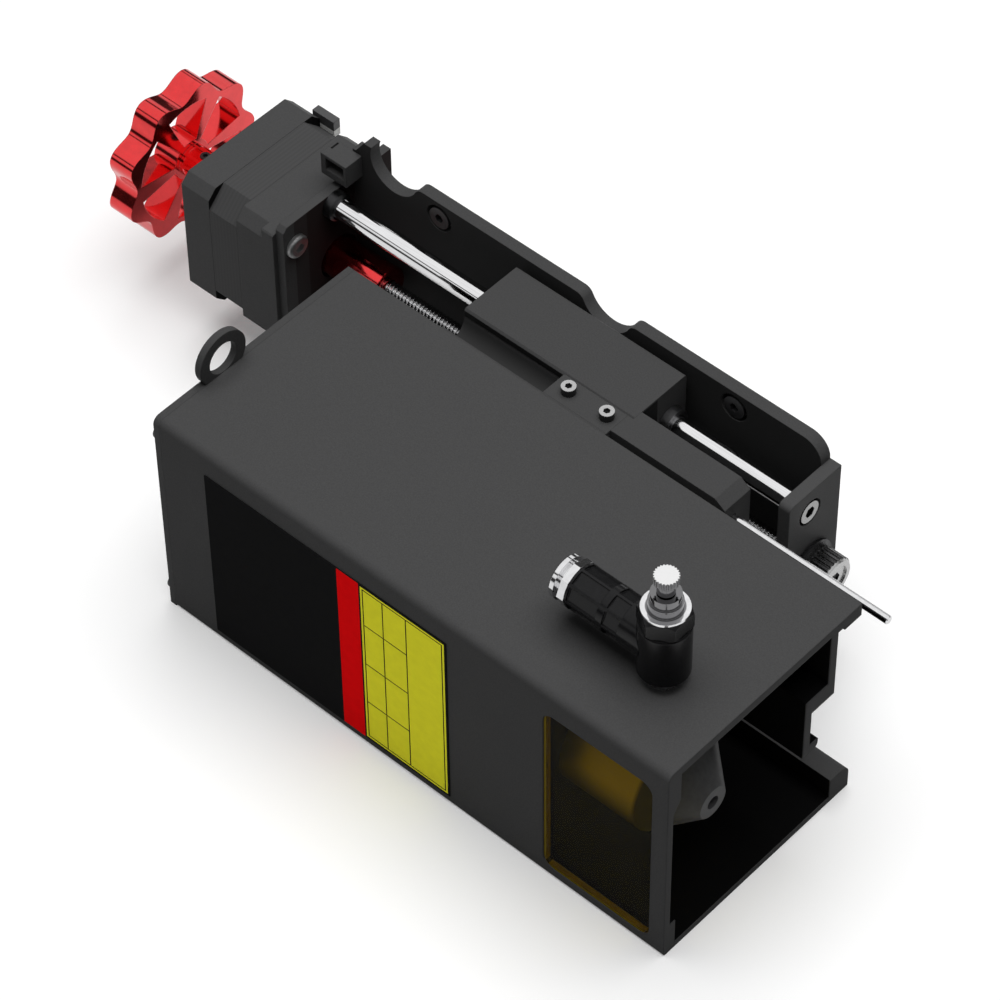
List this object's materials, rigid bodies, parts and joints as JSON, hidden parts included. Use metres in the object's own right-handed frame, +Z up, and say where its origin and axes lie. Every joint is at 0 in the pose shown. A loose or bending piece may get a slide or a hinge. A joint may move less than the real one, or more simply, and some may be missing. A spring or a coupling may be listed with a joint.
{
  "type": "laser diode module on a motor-driven slide",
  "caption": "Boxed laser diode head with air fitting and amber window, carried on a screw-driven slide with hand knob, guide shafts and motor.",
  "frame": {"origin": "centre of the four mounting screws, on the back face of the base plate", "axes": "+X along the slide towards the nozzle end, +Y out of the back of the base plate, +Z up"},
  "size_m": [0.2194, 0.0991, 0.0888],
  "materials": {
    "black_plate": "black anodised, satin",
    "black_housing": "black anodised, fine bead-blasted",
    "black_cap": "black coated",
    "red_anodised": "red anodised, satin",
    "bare_aluminium": "machined",
    "lamination": "stacked steel sheet",
    "steel": "plain",
    "dark_steel": "black oxide",
    "chrome": "polished",
    "brass": "machined",
    "bronze": "sintered",
    "sintered_iron": "sintered",
    "black_plastic": "moulded",
    "white_plastic": "moulded",
    "label": "printed black, red and yellow",
    "amber_glass": "tinted, clear",
    "lens_glass": "coated",
    "circuit_board": "green solder mask",
    "nozzle_metal": "turned"
  },
  "bodies": {
    "slide_frame": {"base_plate": "black_plate", "mounting_screws": "dark_steel", "motor_mount_plate": "black_plate", "motor_front_cap": "black_cap", "motor_stator": "lamination", "motor_rear_cap": "black_cap", "motor_tie_screws": "dark_steel", "motor_face_screws": "steel", "motor_bearings": "steel", "motor_connector": "white_plastic", "cable_socket": "black_plastic", "cable_socket_pins": "brass", "upper_guide_shaft": "chrome", "lower_guide_shaft": "chrome", "shaft_collars": "dark_steel", "front_end_plate": "black_plate", "shaft_screws": "steel", "screw_bearing": "bronze"},
    "drive_screw": {"knob": "red_anodised", "knob_set_screw": "dark_steel", "motor_shaft": "steel", "motor_rotor": "lamination", "shaft_coupling": "red_anodised", "coupling_set_screws": "dark_steel", "lead_screw": "steel", "end_washer": "dark_steel", "end_nut": "steel"},
    "carriage": {"carriage_block": "black_plate", "guide_bushings": "sintered_iron", "lead_nut": "brass", "side_block": "black_plate", "side_block_screws": "steel", "bracket_plate": "black_plate", "clamp_bar": "black_plate", "clamp_screws": "dark_steel", "housing": "black_housing", "window_pane": "amber_glass", "label_panel": "label", "rear_cover": "black_plate", "rear_cover_screws": "dark_steel", "power_socket": "black_plastic", "laser_block": "bare_aluminium", "laser_diodes": "brass", "focus_lens": "lens_glass", "nozzle": "nozzle_metal", "air_post": "black_plate", "heat_sink": "bare_aluminium", "driver_board": "circuit_board", "fan_frame": "black_plastic", "fan_screws": "dark_steel", "fitting_stem": "steel", "fitting_body": "black_plastic", "fitting_barrel": "black_plastic", "barrel_end_ring": "chrome", "valve_collar": "chrome", "probe_housing": "black_plastic"},
    "fan": {"fan_rotor": "black_plastic"},
    "valve": {"valve_screw": "chrome"},
    "collet": {"release_collet": "chrome"},
    "probe": {"probe_rod": "chrome"}
  },
  "joints": [
    {"name": "screw_turn", "type": "hinge", "parent": "slide_frame", "child": "drive_screw", "pos_m": [0, -0.0088, 0], "axis": [1, 0, 0], "range_deg": [-5760.1, 4680.1]},
    {"name": "carriage_slide", "type": "slide", "parent": "slide_frame", "child": "carriage", "axis": [1, 0, 0], "range_m": [-0.026, 0.032]},
    {"name": "fan_spin", "type": "hinge", "parent": "carriage", "child": "fan", "pos_m": [0, -0.0645, -0.0027], "axis": [1, 0, 0], "continuous": true},
    {"name": "valve_turn", "type": "hinge", "parent": "carriage", "child": "valve", "pos_m": [0.0791, -0.069, 0.05], "axis": [0, 0, 1], "range_deg": [-1080, 720]},
    {"name": "collet_push", "type": "slide", "parent": "carriage", "child": "collet", "axis": [1, 0, 0], "range_m": [0, 0.001], "stiffness_N_per_m": 200},
    {"name": "probe_slide", "type": "slide", "parent": "carriage", "child": "probe", "axis": [1, 0, 0], "range_m": [-0.021, 0]}
  ],
  "couplings": [
    {"joint": "screw_turn", "follows": "carriage_slide", "rad_per_m": -3141.6}
  ]
}
